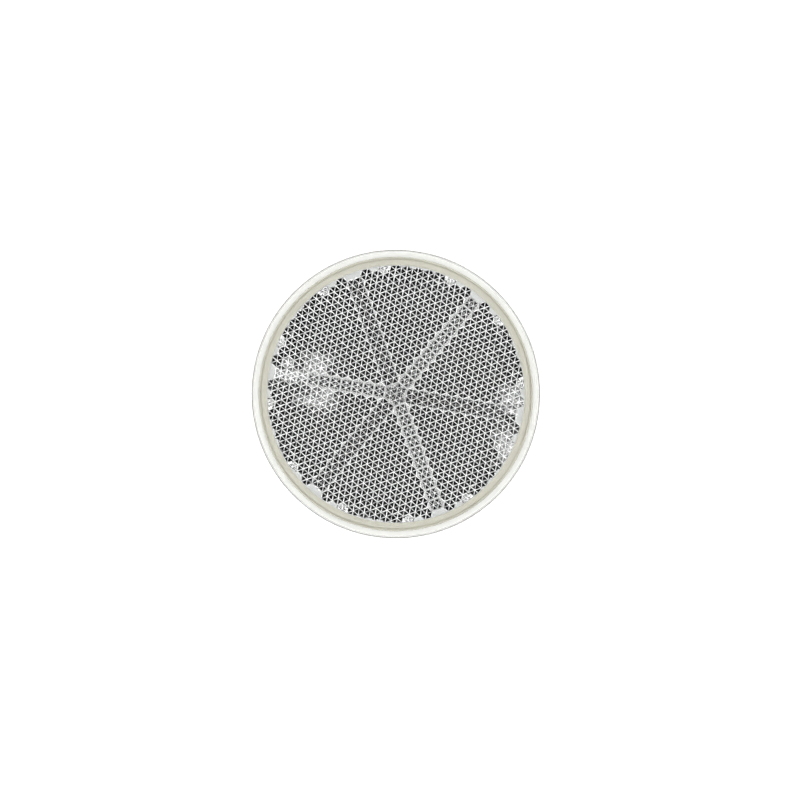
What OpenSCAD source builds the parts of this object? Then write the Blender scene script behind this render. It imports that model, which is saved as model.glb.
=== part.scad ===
// Round prismatic reflector: a clear moulded lens with corner cubes on its inner face,
// a cream back plate whose raised ring is welded to the lens, and a round foam pad.
// It lies on its back. The origin is the middle of the foam pad's back face and +Z
// points out of the front of the lens.

/* [Lens] */
// Outside diameter of the lens
lens_d = 60; // [50:1:80]
// Thickness of the clear front wall over the ring's seat
front_t = 1.8; // [1.4:0.1:4]
// Wall of the skirt that surrounds the back plate
skirt_w = 1.5; // [1.3:0.1:3]
// Radius of the rounded front edge
edge_r = 1.2; // [0.4:0.1:1.3]

/* [Prisms] */
// Distance between the tips of neighbouring corner cubes
pitch = 2.32; // [2:0.01:4]
// Direction of the first spoke, in degrees from +X
spoke_turn = -10; // [-30:1:30]
// Solid layer between the deepest pits and the front wall
root_t = 0.6; // [0.5:0.05:1.5]
// Plain margin between the ring and the prism field, which is cut off in a circle there
field_gap = 0.1; // [0.05:0.05:1]
// How far inside that circle a corner cube's tip must lie for the cube to be there at all
edge_in = 0.1; // [0.05:0.05:1.5]

/* [Back plate] */
// Thickness of the plate's floor
plate_t = 1.3; // [1:0.1:3]
// Width of the raised ring that is welded to the lens
ring_w = 1.7; // [1.3:0.1:4]
// Width of the groove that takes the flash of the weld
groove_w = 0.3; // [0.1:0.05:0.5]
// Depth of that groove
groove_t = 0.3; // [0.1:0.05:0.5]
// Distance from the groove to the ring's outer edge
groove_in = 0.3; // [0.2:0.05:0.5]
// Clearance between the plate's edge and the skirt
fit_gap = 0.1; // [0.05:0.05:0.3]
// Air between the prism tips and the plate's floor
tip_gap = 0.4; // [0.2:0.05:1]

/* [Foam pad] */
// Diameter of the adhesive foam pad
pad_d = 46; // [20:1:48]
// Thickness of the pad
pad_t = 1.1; // [0.8:0.1:3]
// Depth of the pad's seat in the plate
seat_t = 0.3; // [0.1:0.05:0.5]
// Clearance round the pad in its seat
seat_gap = 0.2; // [0.1:0.05:0.5]

/* [Hidden] */

round_fn = 120;
edge_steps = 6;
// How far the prism block reaches into the front wall that it is part of
bite = 0.3;
// Chamfer on the plate's back edge
plate_chamfer = 0.4;

// Side of a cell's outline, and the rise from a tip to the middle corners and on to the pits
side = pitch / sqrt(3);
rise = pitch / sqrt(6);

lens_r = lens_d / 2;
plate_r = lens_r - skirt_w - fit_gap;
ring_in = plate_r - ring_w;
field_r = ring_in - field_gap;

plate_z = pad_t - seat_t;
floor_z = plate_z + plate_t;
tip_z = floor_z + tip_gap;
middle_z = tip_z + rise;
pit_z = middle_z + rise;
land_z = pit_z + root_t;
front_z = land_z + front_t;
block_z = land_z + bite;

// Tips, middle corners and pits lie on one triangular lattice of whole numbers [p, q],
// whose six steps to the nearest neighbours run round from spoke_turn + 30 degrees.
steps = [[1, 0], [0, 1], [-1, 1], [-1, 0], [0, -1], [1, -1]];
function spot(v) =
    side * [v[0] * cos(spoke_turn + 30) + v[1] * cos(spoke_turn + 90),
            v[0] * sin(spoke_turn + 30) + v[1] * sin(spoke_turn + 90)];

// The spokes divide the field into six sectors, each the mirror image of the next.
// A point's distances from the three spoke lines have two plus signs in the even sectors
// and one in the odd sectors.
function plus(x) = x > 0 ? 1 : 0;
function parity(v) = plus(v[0] - v[1]) + plus(v[0] + 2 * v[1]) + plus(-2 * v[0] - v[1]);
// Every third point is a middle corner, and these lie on the spokes too.
function kind(v) = ((v[0] - v[1]) % 3 + 3) % 3;
function is_tip(v) = kind(v) != 0 && kind(v) + parity(v) == 3;
function height(v) = kind(v) == 0 ? middle_z : is_tip(v) ? tip_z : pit_z;
function at(v, z) = concat(spot(v), z);
function inside(v) = norm(spot(v)) <= field_r - edge_in;

// The first step from a tip that leads to a middle corner; every second one does.
function first(v) = kind(v) % 2;
// Each corner cube has three middle corners with a pit after each of them, except that
// the pit beyond a spoke is left out: there the mirror image cuts the cube off.
function pit_kept(v, k) = !is_tip(v + steps[(k + 1) % 6]);
function corners(v) = [for (n = [0 : 2]) let (k = first(v) + 2 * n)
    each pit_kept(v, k) ? [v + steps[k % 6], v + steps[(k + 1) % 6]] : [v + steps[k % 6]]];

// The cube's three faces, the last one short of its pit where a spoke cuts it off
function cube_faces(v) = [for (n = [0 : 2]) let (
    k = first(v) + 2 * n, a = v + steps[k % 6], pit = v + steps[(k + 1) % 6], b = v + steps[(k + 2) % 6])
    pit_kept(v, k) ? [at(v, tip_z), at(a, middle_z), at(pit, pit_z), at(b, middle_z)]
                   : [at(v, tip_z), at(a, middle_z), at(b, middle_z)]];

// Upright walls between the cube and the plain land beyond the edge of the field
function wall(a, b) = [at(a, height(a)), at(a, block_z), at(b, block_z), at(b, height(b))];
function walls(v) = let (c = corners(v)) [for (n = [0 : len(c) - 1])
    let (a = c[n], b = c[(n + 1) % len(c)])
    if (kind(a) + kind(b) != 0 && !inside(a + b - v)) wall(a, b)];

// The block's flat top over the cube, with its corners in the opposite order
function top(v) = let (c = corners(v)) [[for (n = [len(c) - 1 : -1 : 0]) at(c[n], block_z)]];

reach = ceil(field_r / side * 2);
tips = [for (p = [-reach : reach]) for (q = [-reach : reach]) if (is_tip([p, q]) && inside([p, q])) [p, q]];

function flatten(list) = [for (part = list) each part];
block_faces = flatten([for (v = tips) concat(cube_faces(v), walls(v), top(v))]);
// Where each face's corners start in the list of all points
block_starts = [for (n = 0, start = 0; n < len(block_faces);
    start = start + len(block_faces[n]), n = n + 1) start];

module prism_block()
    intersection() {
        polyhedron(
            points = flatten(block_faces),
            faces = [for (n = [0 : len(block_faces) - 1])
                [for (m = [0 : len(block_faces[n]) - 1]) block_starts[n] + m]]
        );
        translate([0, 0, floor_z])
            cylinder(r = field_r, h = front_z - floor_z, $fn = round_fn);
    }

module lens_shell()
    rotate_extrude($fn = round_fn)
        polygon(concat(
            [[0, land_z], [lens_r - skirt_w, land_z], [lens_r - skirt_w, plate_z], [lens_r, plate_z]],
            [for (s = [0 : edge_steps]) let (a = 90 * s / edge_steps)
                [lens_r - edge_r + edge_r * cos(a), front_z - edge_r + edge_r * sin(a)]],
            [[0, front_z]]
        ));

module lens()
    color([0.93, 0.94, 0.93, 0.45]) {
        lens_shell();
        prism_block();
    }

module back_plate()
    color("ivory")
        rotate_extrude($fn = round_fn)
            polygon([
                [0, plate_z + seat_t], [pad_d / 2 + seat_gap, plate_z + seat_t], [pad_d / 2 + seat_gap, plate_z],
                [plate_r - plate_chamfer, plate_z], [plate_r, plate_z + plate_chamfer], [plate_r, land_z],
                [plate_r - groove_in, land_z], [plate_r - groove_in, land_z - groove_t],
                [plate_r - groove_in - groove_w, land_z - groove_t], [plate_r - groove_in - groove_w, land_z],
                [ring_in, land_z], [ring_in, floor_z], [0, floor_z]
            ]);

module foam_pad()
    color("dimgray")
        cylinder(d = pad_d, h = pad_t, $fn = round_fn);

lens();
back_plate();
foam_pad();
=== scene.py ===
"""Round prismatic reflector: a clear lens with corner cubes, a cream back plate and a foam pad."""

import math

import bmesh
import bpy
from bpy.props import FloatProperty, FloatVectorProperty, PointerProperty
from mathutils import Matrix, Vector, noise


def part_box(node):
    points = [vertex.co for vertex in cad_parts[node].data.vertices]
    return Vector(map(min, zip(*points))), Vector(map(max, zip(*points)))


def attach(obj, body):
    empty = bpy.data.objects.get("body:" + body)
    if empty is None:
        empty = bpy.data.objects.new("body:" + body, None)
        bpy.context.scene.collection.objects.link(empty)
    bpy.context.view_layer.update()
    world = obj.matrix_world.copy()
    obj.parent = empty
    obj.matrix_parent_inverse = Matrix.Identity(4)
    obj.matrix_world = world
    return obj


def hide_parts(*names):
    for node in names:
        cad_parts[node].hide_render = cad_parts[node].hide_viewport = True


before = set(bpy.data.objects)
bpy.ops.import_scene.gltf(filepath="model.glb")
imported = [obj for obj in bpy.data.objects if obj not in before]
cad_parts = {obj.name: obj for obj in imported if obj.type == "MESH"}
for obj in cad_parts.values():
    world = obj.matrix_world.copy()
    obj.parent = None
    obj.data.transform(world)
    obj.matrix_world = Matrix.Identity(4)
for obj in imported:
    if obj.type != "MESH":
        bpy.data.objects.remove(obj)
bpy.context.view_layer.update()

bl_info = {
    "name": "Round reflector",
    "version": (1, 0, 0),
    "blender": (4, 5, 0),
    "location": "3D View > Sidebar > Reflector",
    "description": "Builds a round prismatic reflector: its lens, back plate, foam pad and stage",
    "category": "Add Mesh",
}

MM = 0.001
# The frame gives the outsides of the three pieces, in metres.
LENS_LOW, LENS_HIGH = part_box("lens")
PLATE_LOW, PLATE_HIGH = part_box("back_plate")
PAD_LOW, PAD_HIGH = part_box("foam_pad")

# Where the prisms' faces are etched: middle and radius in x and y, in millimetres
WORN_PATCHES = (((-16.7, 6.2), (3.2, 2.2)), ((-23.0, 4.3), (4.2, 2.4)), ((-16.3, -1.2), (3.6, 2.4)),
                ((24.0, -1.2), (3.4, 3.4)), ((22.9, -10.9), (2.2, 5.0)))
# How far noise moves a patch's outline, as a share of its radius, and the noise's size in millimetres
RAGGED, RAGGED_SIZE = 0.45, 2

# Degrees from one spoke to the next
SECTOR = 60
# Steps in a full spin, and in a quarter turn of the lens's and the pad's rounded edges
SPIN_STEPS, LENS_EDGE_STEPS, PAD_EDGE_STEPS = 256, 10, 4
# Straight cuts that make one sector's share of the prism field's round edge
EDGE_CUTS = 20
# Where the band of painted shade runs on the lens's rounded edge, in degrees round it from the flat front: a
# grey band that stands for the dark outline the rounded edge shows
RIM_SHADE_ANGLE = 54
# Radius on the plate's turned edges, in millimetres
PLATE_EDGE = 0.06
# Edges that turn by more than SHARP radians are rounded, those under SMOOTH are shaded smooth.
SHARP, SMOOTH = 0.3, math.radians(35)
# Points nearer than MERGE are one and lengths under HAIR make no difference, in millimetres.
MERGE, HAIR = 1e-4, 1e-3

# Places in the lens's list of materials after the clear acrylic, and in the plate's after the cream
# The third place in the lens's list is the grey band of painted shade round its front edge
MATT, ETCHED, RIM_SHADE = 1, 2, 3
# The plate's second place is its inside: painted light, a lighter copy of its plastic that makes up for the
# prisms' shade
PAINTED_LIGHT = 1
ACRYLIC_IOR, ABS_IOR = 1.49, 1.54
# The Mix node's colour sockets, whose names its number sockets have too
MIX_A, MIX_B, MIX_RESULT = 6, 7, 2

# The reflector's middle lies a little left of and above the middle of the picture, in millimetres.
VIEW_MIDDLE = (0.86, -1.23)
# How far the floor reaches each way, in metres, and the width of the camera's sensor in millimetres
FLOOR_REACH, SENSOR_WIDTH = 2.0, 36.0


def length(name, description, millimetres):
    """A size in metres with its default given in millimetres."""
    return FloatProperty(name=name, description=description, default=millimetres * MM, min=0.0,
                         subtype="DISTANCE", unit="LENGTH", precision=5)


def amount(name, description, default, most):
    """A plain number from 0 up to the most it may be."""
    return FloatProperty(name=name, description=description, default=default, min=0.0, max=most)


def linear(code):
    """The linear RGBA colour of an sRGB hex code."""
    channels = [int(code[n:n + 2], 16) / 255 for n in (1, 3, 5)]
    return tuple(c / 12.92 if c <= 0.04045 else ((c + 0.055) / 1.055) ** 2.4 for c in channels) + (1.0,)


def colour(name, description, code):
    """A colour with its default given as an sRGB hex code."""
    return FloatVectorProperty(name=name, description=description, subtype="COLOR", size=4, min=0.0,
                               max=1.0, default=linear(code))


class LensSizes(bpy.types.PropertyGroup):
    """Sizes and colours of the clear lens."""

    skirt_wall: length("Skirt wall", "Wall of the skirt round the back plate", 1.5)
    edge_radius: length("Front edge radius", "Radius of the rounded front edge", 1.2)
    pitch: length("Prism pitch", "Distance between the tips of neighbouring corner cubes", 2.32)
    shift: length("Sector shift", "How far each sector of cubes is moved across its bold spoke", 0.125)
    crease: length("Crease width", "Width of the rounding on each side of a prism edge", 0.09)
    slot: length("Slot width", "Width of the slots between the sectors", 0.03)
    # How near the middle of the band of painted shade round the front edge a face lies to be in it
    line: length("Rim shade band", "How near the parting line's middle a face lies to be in it", 0.08)
    tip_gap: length("Tip gap", "Air between the prism tips and the plate's floor", 0.4)
    field_radius: length("Field radius", "Radius at which the prism field is cut off", 26.6)
    edge_in: length("Edge margin", "How far inside that edge a cube's tip lies at least", 0.1)
    worn: amount("Worn patches", "Share of the worn patches' full size", 1.0, 2.0)
    spoke_turn: FloatProperty(name="Spoke direction", description="Direction of the first spoke from +X",
                              subtype="ANGLE", unit="ROTATION", default=math.radians(-10))
    tint: colour("Acrylic tint", "Colour of the clear moulded acrylic", "#FDFEFD")
    slot_tone: colour("Slot tone", "Colour of the matt walls of the slots", "#FFFFFF")
    # Painted shade: the grey of the band round the front edge, which stands for the dark outline that the
    # rounded edge shows
    rim_shade_tone: colour("Rim shade band tone", "Colour of the dust on the parting line", "#6E6E6B")


class PlateSizes(bpy.types.PropertyGroup):
    """Sizes and colours of the cream back plate."""

    floor: length("Floor thickness", "Thickness of the plate's floor", 1.3)
    ring: length("Ring width", "Width of the raised ring welded to the lens", 1.7)
    groove: length("Groove width", "Width and depth of the weld's flash groove", 0.3)
    groove_in: length("Groove inset", "Distance from the groove to the ring's outer edge", 0.3)
    chamfer: length("Back chamfer", "Chamfer on the plate's back edge", 0.4)
    weld_gap: length("Weld gap", "Thin air film between the ring's face and the lens", 0.02)
    seat: length("Pad seat depth", "Depth of the foam pad's seat", 0.3)
    seat_gap: length("Seat clearance", "Clearance round the pad in its seat", 0.2)
    tone: colour("Plastic colour", "Colour of the cream moulded ABS", "#CECBBE")
    # Painted light: the inside is a lighter copy of the cream plastic, to make up for the shade the prism
    # field casts there
    painted_light_tone: colour("Inside colour", "Colour of the white inside of the plate", "#F8F8F8")


class PadSizes(bpy.types.PropertyGroup):
    """Sizes and colour of the foam pad."""

    edge: length("Cut edge rounding", "Rounding where the die pressed the foam's edge", 0.12)
    tone: colour("Foam colour", "Colour of the closed-cell foam", "#4A4A4B")


class StageLook(bpy.types.PropertyGroup):
    """The floor, the light tent and the camera; heights in the tent are on the unit sphere."""

    floor_tone: colour("Floor colour", "Colour of the pale paper floor", "#F6F6F5")
    floor_glow: amount("Floor glow", "Light that comes up through the floor", 0.28, 10.0)
    floor_gap: length("Floor gap", "How far the floor lies under the pad, to keep their faces apart", 0.02)
    side_light: amount("Tent foot", "Brightness of the light tent near the floor", 0.8, 10.0)
    wall_light: amount("Tent walls", "Brightness of the light tent's upper walls", 2.4, 10.0)
    wall_foot: amount("Tent foot top", "Height at which the walls start to brighten", 0.15, 1.0)
    wall_shoulder: amount("Tent shoulder", "Height at which the walls are fully bright", 0.6, 1.0)
    wall_top: amount("Tent wall top", "Height at which the walls end", 0.96, 1.0)
    wall_fade: amount("Tent wall fade", "Half the height over which the walls fade out", 0.03, 1.0)
    ambient: amount("Overhead light", "Brightness overhead, round the camera", 0.007, 10.0)
    eye_height: length("Camera height", "Height of the camera over the floor", 800.0)
    frame_width: length("Width in view", "Width that the camera takes in at the lens", 165.535)


def add_node(tree, kind, settings=None, **inputs):
    """One shader node with its settings, and its inputs set to values or linked to sockets."""
    node = tree.nodes.new(kind)
    for name, value in (settings or {}).items():
        setattr(node, name, value)
    for name, value in inputs.items():
        socket = node.inputs[name.replace("_", " ")]
        if isinstance(value, bpy.types.NodeSocket):
            tree.links.new(value, socket)
        else:
            socket.default_value = value
    return node


def new_material(name, **sockets):
    """A material, its node tree and its Principled shader, with values set on the shader's own sockets."""
    material = bpy.data.materials.new(name)
    material.use_nodes = True
    shader = material.node_tree.nodes["Principled BSDF"]
    for socket, value in sockets.items():
        shader.inputs[socket.replace("_", " ")].default_value = value
    return material, material.node_tree, shader


def darker(tone, share):
    """A colour with its red, green and blue cut to a share."""
    return tuple(c * share for c in tone[:3]) + (1.0,)


def moulded_acrylic(tint):
    """Clear PMMA from a polished mould: glassy, with a highlight line on every prism edge."""
    return new_material("moulded_acrylic", Base_Color=tint, Transmission_Weight=1.0, IOR=ACRYLIC_IOR,
                        Roughness=0.0)[0]


def matt_acrylic(name, tone):
    """PMMA left matt and milky by the tool: white on the slots' walls. In grey it is painted shade, a band
    round the lens's front edge that stands for the dark outline the rounded edge shows.
    """
    material, tree, shader = new_material(name, IOR=ACRYLIC_IOR, Roughness=0.6)
    place = add_node(tree, "ShaderNodeTexCoord").outputs["Object"]
    # Milky clouds of 0.5 mm
    clouds = add_node(tree, "ShaderNodeTexNoise", Vector=place, Scale=1 / (0.5 * MM), Detail=2.0)
    mix = add_node(tree, "ShaderNodeMix", {"data_type": "RGBA"}, Factor=clouds.outputs["Fac"])
    mix.inputs[MIX_A].default_value = darker(tone, 0.9)
    mix.inputs[MIX_B].default_value = tone
    tree.links.new(mix.outputs[MIX_RESULT], shader.inputs["Base Color"])
    return material


def etched_acrylic(tint):
    """PMMA from a worn place of the mould: finely rippled, so the cubes there glitter instead of
    returning light."""
    material, tree, shader = new_material("etched_acrylic", Base_Color=tint, Transmission_Weight=1.0,
                                          IOR=ACRYLIC_IOR, Roughness=0.05)
    place = add_node(tree, "ShaderNodeTexCoord").outputs["Object"]
    # Ripples 0.35 mm long and 0.031 mm high
    ripples = add_node(tree, "ShaderNodeTexNoise", Vector=place, Scale=1 / (0.35 * MM), Detail=2.0)
    bump = add_node(tree, "ShaderNodeBump", Height=ripples.outputs["Fac"], Strength=1.0,
                    Distance=0.031 * MM)
    tree.links.new(bump.outputs["Normal"], shader.inputs["Normal"])
    return material


def moulded_abs(name, tone):
    """ABS from a fine-eroded mould: satin, with a slight grain and faint flow clouds."""
    material, tree, shader = new_material(name, IOR=ABS_IOR, Roughness=0.42)
    place = add_node(tree, "ShaderNodeTexCoord").outputs["Object"]
    # Flow clouds about 8 mm across
    clouds = add_node(tree, "ShaderNodeTexNoise", Vector=place, Scale=1 / (8 * MM), Detail=3.0)
    mix = add_node(tree, "ShaderNodeMix", {"data_type": "RGBA"}, Factor=clouds.outputs["Fac"])
    mix.inputs[MIX_A].default_value = darker(tone, 0.96)
    mix.inputs[MIX_B].default_value = tone
    tree.links.new(mix.outputs[MIX_RESULT], shader.inputs["Base Color"])
    # Eroded grain of 0.15 mm
    grain = add_node(tree, "ShaderNodeTexNoise", Vector=place, Scale=1 / (0.15 * MM), Detail=2.0)
    bump = add_node(tree, "ShaderNodeBump", Height=grain.outputs["Fac"], Strength=0.15,
                    Distance=0.01 * MM)
    tree.links.new(bump.outputs["Normal"], shader.inputs["Normal"])
    return material


def closed_cell_foam(tone):
    """Die-cut polyethylene foam: matt, finely pitted with cut cells."""
    material, tree, shader = new_material("closed_cell_foam", Roughness=0.95)
    place = add_node(tree, "ShaderNodeTexCoord").outputs["Object"]
    # Cut cells of 0.35 mm: pits whose middles are dark with painted shade
    cells = add_node(tree, "ShaderNodeTexVoronoi", Vector=place, Scale=1 / (0.35 * MM))
    pit_shade_ramp = add_node(tree, "ShaderNodeValToRGB", Fac=cells.outputs["Distance"])
    pit_shade_ramp.color_ramp.elements[0].color = darker(tone, 0.55)
    pit_shade_ramp.color_ramp.elements[1].color = tone
    pit_shade_ramp.color_ramp.elements[1].position = 0.5
    tree.links.new(pit_shade_ramp.outputs["Color"], shader.inputs["Base Color"])
    bump = add_node(tree, "ShaderNodeBump", Height=cells.outputs["Distance"], Strength=0.6,
                    Distance=0.08 * MM)
    tree.links.new(bump.outputs["Normal"], shader.inputs["Normal"])
    return material


def pale_paper(tone, glow):
    """Matt white paper on a lit table: even, with no shine and hardly a shadow."""
    material, tree, shader = new_material("pale_paper", Base_Color=tone, Roughness=0.9,
                                          Emission_Color=(1, 1, 1, 1), Emission_Strength=glow)
    place = add_node(tree, "ShaderNodeTexCoord").outputs["Object"]
    # Paper fibre clouds of 2 mm
    fibre = add_node(tree, "ShaderNodeTexNoise", Vector=place, Scale=1 / (2 * MM), Detail=4.0)
    bump = add_node(tree, "ShaderNodeBump", Height=fibre.outputs["Fac"], Strength=0.05,
                    Distance=0.02 * MM)
    tree.links.new(bump.outputs["Normal"], shader.inputs["Normal"])
    return material


def heading(degrees):
    """The level direction at an angle from +X."""
    angle = math.radians(degrees)
    return Vector((math.cos(angle), math.sin(angle), 0))


def arc(centre, radius, start, end, count):
    """Points of a circular arc, its angles in degrees."""
    angles = [math.radians(start + (end - start) * n / count) for n in range(count + 1)]
    return [(centre[0] + radius * math.cos(a), centre[1] + radius * math.sin(a)) for a in angles]


def points_of(geometry):
    """The vertices among what a bmesh operator made."""
    return [g for g in geometry if isinstance(g, bmesh.types.BMVert)]


def spin_outline(bm, outline):
    """A profile of (radius, height) points in millimetres, spun once round the Z axis."""
    points = [bm.verts.new((r, 0.0, z)) for r, z in outline]
    lines = [bm.edges.new(pair) for pair in zip(points, points[1:])]
    bmesh.ops.spin(bm, geom=points + lines, cent=(0, 0, 0), axis=(0, 0, 1), dvec=(0, 0, 0),
                   angle=math.tau, steps=SPIN_STEPS, use_merge=True, use_duplicate=False)
    bmesh.ops.remove_doubles(bm, verts=bm.verts, dist=MERGE)


def mirror_all(bm, matrix):
    """Adds a mirror image of everything in the bmesh, turned right side out."""
    made = bmesh.ops.duplicate(bm, geom=bm.verts[:] + bm.edges[:] + bm.faces[:])["geom"]
    bmesh.ops.transform(bm, matrix=matrix, verts=points_of(made))
    bmesh.ops.reverse_faces(bm, faces=[g for g in made if isinstance(g, bmesh.types.BMFace)])


def cut_off(bm, place, outward):
    """Cuts the bmesh at a plane and drops what lies outward of it."""
    bmesh.ops.bisect_plane(bm, geom=bm.verts[:] + bm.edges[:] + bm.faces[:], dist=MERGE,
                           plane_co=place, plane_no=outward, clear_outer=True)


def prism_sector(bm, sizes, tip_z):
    """The corner cubes of one sector, from the fine spoke along +X to the bold spoke at 60 degrees."""
    pitch = sizes.pitch / MM
    side = pitch / math.sqrt(3)
    rise = pitch / math.sqrt(6)
    radius = sizes.field_radius / MM
    # One cube: a hexagon with its middle drawn down to the tip and every second corner up to a pit
    ring = bmesh.ops.create_circle(bm, cap_ends=True, segments=6, radius=side)["verts"]
    tip = bmesh.ops.poke(bm, faces=ring[0].link_faces[:])["verts"][0]
    for number, corner in enumerate(ring):
        corner.co.z = rise * (1 + number % 2)
    pits = ring[1::2]
    diagonals = [edge for edge in tip.link_edges if edge.other_vert(tip) in pits]
    bmesh.ops.dissolve_edges(bm, edges=diagonals, use_verts=False)
    cube = bm.verts[:] + bm.edges[:] + bm.faces[:]
    # The array of cubes reaches just over both spokes, where it is cut off below.
    count = int(radius / pitch) + 2
    for row in range(-1, count + 2):
        for column in range(-1 - row, count + 2):
            x = (column + row / 2 + 0.5) * pitch
            y = side / 2 + row * side * 1.5
            across = x * math.sin(math.radians(SECTOR)) - y * math.cos(math.radians(SECTOR))
            if math.hypot(x, y) > radius - sizes.edge_in / MM or y < -side or across < -side:
                continue
            made = bmesh.ops.duplicate(bm, geom=cube)["geom"]
            bmesh.ops.translate(bm, vec=(x, y, 0), verts=points_of(made))
    bmesh.ops.delete(bm, geom=points_of(cube), context="VERTS")
    bmesh.ops.remove_doubles(bm, verts=bm.verts, dist=HAIR)
    creases = [edge for edge in bm.edges if len(edge.link_faces) == 2 and edge.calc_face_angle() > SHARP]
    bmesh.ops.bevel(bm, geom=creases, offset=sizes.crease / MM, offset_type="OFFSET", segments=2,
                    profile=0.5, affect="EDGES", clamp_overlap=True, material=-1)
    # The sector stops short of both spokes by half a slot.
    beyond_bold, beyond_fine = heading(SECTOR + 90), Vector((0, -1, 0))
    bmesh.ops.translate(bm, vec=beyond_bold * sizes.shift / MM + Vector((0, 0, tip_z)), verts=bm.verts)
    for outward in (beyond_bold, beyond_fine):
        cut_off(bm, -outward * sizes.slot / 2 / MM, outward)
    step = SECTOR / EDGE_CUTS
    for number in range(EDGE_CUTS):
        outward = heading(step * number + step / 2)
        cut_off(bm, outward * radius * math.cos(math.radians(step / 2)), outward)


def is_worn(place, size):
    """Whether a face lies in a worn patch, whose outline is ragged."""
    ragged = RAGGED * noise.noise(Vector((place.x, place.y, 0)) / RAGGED_SIZE)
    return any(math.hypot((place.x - x) / wide, (place.y - y) / high) + ragged < size
               for (x, y), (wide, high) in WORN_PATCHES)


def prism_field(bm, sizes, tip_z, land_z):
    """Six mirrored sectors of corner cubes, with walls from their outlines up to the plain land."""
    prism_sector(bm, sizes, tip_z)
    turn = Matrix.Rotation(math.radians(SECTOR), 4, "Z")
    turn_back = Matrix.Rotation(math.radians(-SECTOR), 4, "Z")
    mirror_all(bm, turn @ Matrix.Scale(-1, 4, (0, 1, 0)) @ turn_back)
    third = bm.verts[:] + bm.edges[:] + bm.faces[:]
    for number in (1, 2):
        made = bmesh.ops.duplicate(bm, geom=third)["geom"]
        turn = Matrix.Rotation(math.radians(2 * SECTOR * number), 3, "Z")
        bmesh.ops.rotate(bm, cent=(0, 0, 0), matrix=turn, verts=points_of(made))
    outline = [edge for edge in bm.edges if edge.is_boundary]
    walls = bmesh.ops.extrude_edge_only(bm, edges=outline)["geom"]
    for vert in points_of(walls):
        vert.co.z = land_z
    # A slot's walls run along a spoke; the others stand at the field's round edge.
    for face in (g for g in walls if isinstance(g, bmesh.types.BMFace)):
        centre = face.calc_center_bounds()
        to_spoke = (math.degrees(math.atan2(centre.y, centre.x)) + SECTOR / 2) % SECTOR - SECTOR / 2
        if abs(centre.xy.length * math.sin(math.radians(to_spoke))) < sizes.slot / MM:
            face.material_index = MATT
    bmesh.ops.rotate(bm, cent=(0, 0, 0), matrix=Matrix.Rotation(sizes.spoke_turn, 3, "Z"),
                     verts=bm.verts)
    for face in bm.faces:
        if is_worn(face.calc_center_bounds(), sizes.worn):
            face.material_index = ETCHED


def finish_piece(bm, name, materials, node):
    """Turns a bmesh drawn in millimetres into a piece in metres that stands for a CAD node."""
    bmesh.ops.scale(bm, verts=bm.verts, vec=(MM, MM, MM))
    bmesh.ops.recalc_face_normals(bm, faces=bm.faces)
    open_edges = sum(not edge.is_manifold for edge in bm.edges)
    if open_edges:
        raise RuntimeError(f"{name} has {open_edges} edges that don't join two faces")
    for edge in bm.edges:
        edge.smooth = edge.calc_face_angle(0.0) < SMOOTH
    mesh = bpy.data.meshes.new(name)
    bm.to_mesh(mesh)
    bm.free()
    piece = bpy.data.objects.new(name, mesh)
    bpy.context.scene.collection.objects.link(piece)
    for material in materials:
        mesh.materials.append(material)
    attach(piece, "root")
    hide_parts(node)
    return piece


class REFLECTOR_OT_lens(bpy.types.Operator):
    """Build the clear lens with its corner cubes, skirt and rounded front edge"""

    bl_idname = "reflector.lens"
    bl_label = "Lens"
    bl_options = {"REGISTER", "UNDO"}

    def execute(self, context):
        sizes = context.scene.reflector_lens
        plate = context.scene.reflector_plate
        radius, front_z, skirt_z = LENS_HIGH.x / MM, LENS_HIGH.z / MM, LENS_LOW.z / MM
        land_z = PLATE_HIGH.z / MM
        tip_z = (PLATE_LOW.z + plate.floor + sizes.tip_gap) / MM
        skirt_in = radius - sizes.skirt_wall / MM
        land_in = (PLATE_HIGH.x - plate.ring) / MM
        edge = sizes.edge_radius / MM
        bm = bmesh.new()
        prism_field(bm, sizes, tip_z, land_z)
        rounded = arc((radius - edge, front_z - edge), edge, 90, 0, LENS_EDGE_STEPS)
        spin_outline(bm, [(0.0, front_z)] + rounded + [(radius, skirt_z), (skirt_in, skirt_z),
                                                      (skirt_in, land_z), (land_in, land_z)])
        rims = [e for e in bm.edges if e.is_boundary]
        bmesh.ops.triangle_fill(bm, use_beauty=True, use_dissolve=False, edges=rims, normal=(0, 0, -1))
        materials = [moulded_acrylic(sizes.tint), matt_acrylic("matt_acrylic", sizes.slot_tone),
                     etched_acrylic(sizes.tint), matt_acrylic("rim_shade_acrylic", sizes.rim_shade_tone)]
        piece = finish_piece(bm, "clear_lens", materials, "lens")
        # Only the shell is round, so only its faces are shaded smooth. A grey band of painted shade runs
        # round its front edge, standing for the dark outline that the rounded edge shows.
        rim_shade_r = radius + edge * (math.sin(math.radians(RIM_SHADE_ANGLE)) - 1)
        rim_shade_z = front_z - edge
        for face in piece.data.polygons:
            face_r, face_z = face.center.xy.length, face.center.z
            face.use_smooth = face_r > land_in * MM
            if abs(face_r / MM - rim_shade_r) < sizes.line / MM and face_z / MM > rim_shade_z:
                face.material_index = RIM_SHADE
        return {"FINISHED"}


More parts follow.
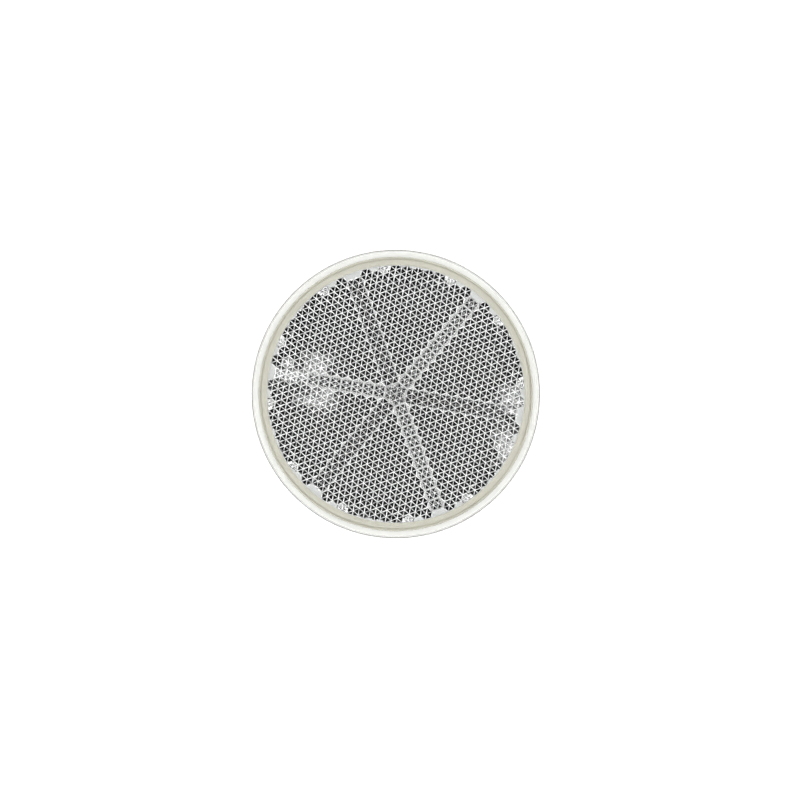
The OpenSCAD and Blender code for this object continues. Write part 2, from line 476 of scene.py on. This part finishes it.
class REFLECTOR_OT_plate(bpy.types.Operator):
    """Build the cream back plate with its raised, grooved ring and the pad's seat"""

    bl_idname = "reflector.plate"
    bl_label = "Back plate"
    bl_options = {"REGISTER", "UNDO"}

    def execute(self, context):
        sizes = context.scene.reflector_plate
        radius, back_z = PLATE_HIGH.x / MM, PLATE_LOW.z / MM
        land_z = (PLATE_HIGH.z - sizes.weld_gap) / MM
        floor_z = back_z + sizes.floor / MM
        ring_in = radius - sizes.ring / MM
        groove_out = radius - sizes.groove_in / MM
        groove_in = groove_out - sizes.groove / MM
        groove_z = land_z - sizes.groove / MM
        seat_r = (PAD_HIGH.x + sizes.seat_gap) / MM
        seat_z = back_z + sizes.seat / MM
        chamfer = sizes.chamfer / MM
        bm = bmesh.new()
        spin_outline(bm, [
            (0.0, seat_z), (seat_r, seat_z), (seat_r, back_z), (radius - chamfer, back_z),
            (radius, back_z + chamfer), (radius, land_z), (groove_out, land_z), (groove_out, groove_z),
            (groove_in, groove_z), (groove_in, land_z), (ring_in, land_z), (ring_in, floor_z),
            (0.0, floor_z)])
        # Painted light: the inside, round the air space, is whiter than the ring and the back, to make up for
        # the shade that the prism field casts on it.
        for face in bm.faces:
            centre = face.calc_center_bounds()
            inside = centre.xy.length < ring_in + HAIR and centre.z > floor_z - HAIR
            face.material_index = PAINTED_LIGHT if inside else 0
        # A mould's small radius on every turned edge
        rims = [e for e in bm.edges if e.is_manifold and e.calc_face_angle() > SHARP]
        bmesh.ops.bevel(bm, geom=rims, offset=PLATE_EDGE, offset_type="OFFSET", segments=2, profile=0.5,
                        affect="EDGES", clamp_overlap=True, material=-1)
        materials = [moulded_abs("moulded_abs", sizes.tone),
                     moulded_abs("painted_light_abs", sizes.painted_light_tone)]
        piece = finish_piece(bm, "cream_back_plate", materials, "back_plate")
        piece.data.shade_smooth()
        return {"FINISHED"}


class REFLECTOR_OT_pad(bpy.types.Operator):
    """Build the round adhesive foam pad"""

    bl_idname = "reflector.pad"
    bl_label = "Foam pad"
    bl_options = {"REGISTER", "UNDO"}

    def execute(self, context):
        sizes = context.scene.reflector_pad
        radius, low, high = PAD_HIGH.x / MM, PAD_LOW.z / MM, PAD_HIGH.z / MM
        edge = sizes.edge / MM
        bm = bmesh.new()
        spin_outline(bm, [(0.0, low)]
                     + arc((radius - edge, low + edge), edge, -90, 0, PAD_EDGE_STEPS)
                     + arc((radius - edge, high - edge), edge, 0, 90, PAD_EDGE_STEPS)
                     + [(0.0, high)])
        materials = [closed_cell_foam(sizes.tone)]
        piece = finish_piece(bm, "foam_pad_disc", materials, "foam_pad")
        piece.data.shade_smooth()
        return {"FINISHED"}


def light_tent(look):
    """A white tent round the reflector: its upper walls are bright, its foot is dimmer, and overhead,
    where the camera is, it is open and dark."""
    world = bpy.data.worlds.new("light_tent")
    world.use_nodes = True
    tree = world.node_tree
    direction = add_node(tree, "ShaderNodeTexCoord").outputs["Generated"]
    height = add_node(tree, "ShaderNodeSeparateXYZ", Vector=direction).outputs["Z"]
    wall = add_node(tree, "ShaderNodeMapRange", {"interpolation_type": "SMOOTHSTEP"}, Value=height,
                    From_Min=look.wall_foot, From_Max=look.wall_shoulder,
                    To_Min=look.side_light, To_Max=look.wall_light)
    tent = add_node(tree, "ShaderNodeMapRange", {"interpolation_type": "SMOOTHSTEP"}, Value=height,
                    From_Min=look.wall_top + look.wall_fade, From_Max=look.wall_top - look.wall_fade,
                    To_Min=look.ambient, To_Max=wall.outputs["Result"])
    tree.nodes["Background"].inputs["Color"].default_value = (1, 1, 1, 1)
    tree.links.new(tent.outputs["Result"], tree.nodes["Background"].inputs["Strength"])
    return world


class REFLECTOR_OT_stage(bpy.types.Operator):
    """Set the pale floor, the light tent and the camera that looks straight down"""

    bl_idname = "reflector.stage"
    bl_label = "Stage"
    bl_options = {"REGISTER", "UNDO"}

    def execute(self, context):
        look = context.scene.reflector_stage
        bm = bmesh.new()
        bmesh.ops.create_grid(bm, x_segments=1, y_segments=1, size=FLOOR_REACH,
                              matrix=Matrix.Translation((0, 0, PAD_LOW.z - look.floor_gap)))
        mesh = bpy.data.meshes.new("paper_floor")
        bm.to_mesh(mesh)
        bm.free()
        floor = bpy.data.objects.new("paper_floor", mesh)
        context.scene.collection.objects.link(floor)
        mesh.materials.append(pale_paper(look.floor_tone, look.floor_glow))
        context.scene.world = light_tent(look)
        lens = bpy.data.cameras.new("camera")
        camera = bpy.data.objects.new("camera", lens)
        context.scene.collection.objects.link(camera)
        camera.location = (VIEW_MIDDLE[0] * MM, VIEW_MIDDLE[1] * MM, look.eye_height)
        lens.sensor_width = SENSOR_WIDTH
        lens.lens = lens.sensor_width * (look.eye_height - LENS_HIGH.z) / look.frame_width
        context.scene.camera = camera
        context.scene.view_settings.view_transform = "Standard"
        return {"FINISHED"}


# What the panel lists and the scene keeps: each operator's name with its sizes
GROUPS = {"lens": LensSizes, "plate": PlateSizes, "pad": PadSizes, "stage": StageLook}


class REFLECTOR_PT_panel(bpy.types.Panel):
    """Lists the pieces of the reflector"""

    bl_idname = "REFLECTOR_PT_panel"
    bl_label = "Round reflector"
    bl_space_type = "VIEW_3D"
    bl_region_type = "UI"
    bl_category = "Reflector"

    def draw(self, context):
        for part in GROUPS:
            group = getattr(context.scene, f"reflector_{part}")
            box = self.layout.box()
            box.operator(f"reflector.{part}")
            for name in group.__annotations__:
                box.prop(group, name)


CLASSES = (LensSizes, PlateSizes, PadSizes, StageLook, REFLECTOR_OT_lens, REFLECTOR_OT_plate,
           REFLECTOR_OT_pad, REFLECTOR_OT_stage, REFLECTOR_PT_panel)


def register():
    for item in CLASSES:
        bpy.utils.register_class(item)
    for part, group in GROUPS.items():
        setattr(bpy.types.Scene, f"reflector_{part}", PointerProperty(type=group))


def unregister():
    for part in GROUPS:
        delattr(bpy.types.Scene, f"reflector_{part}")
    for item in reversed(CLASSES):
        bpy.utils.unregister_class(item)


def main():
    register()
    bpy.ops.reflector.lens()
    bpy.ops.reflector.plate()
    bpy.ops.reflector.pad()
    bpy.ops.reflector.stage()


if __name__ == "__main__":
    main()
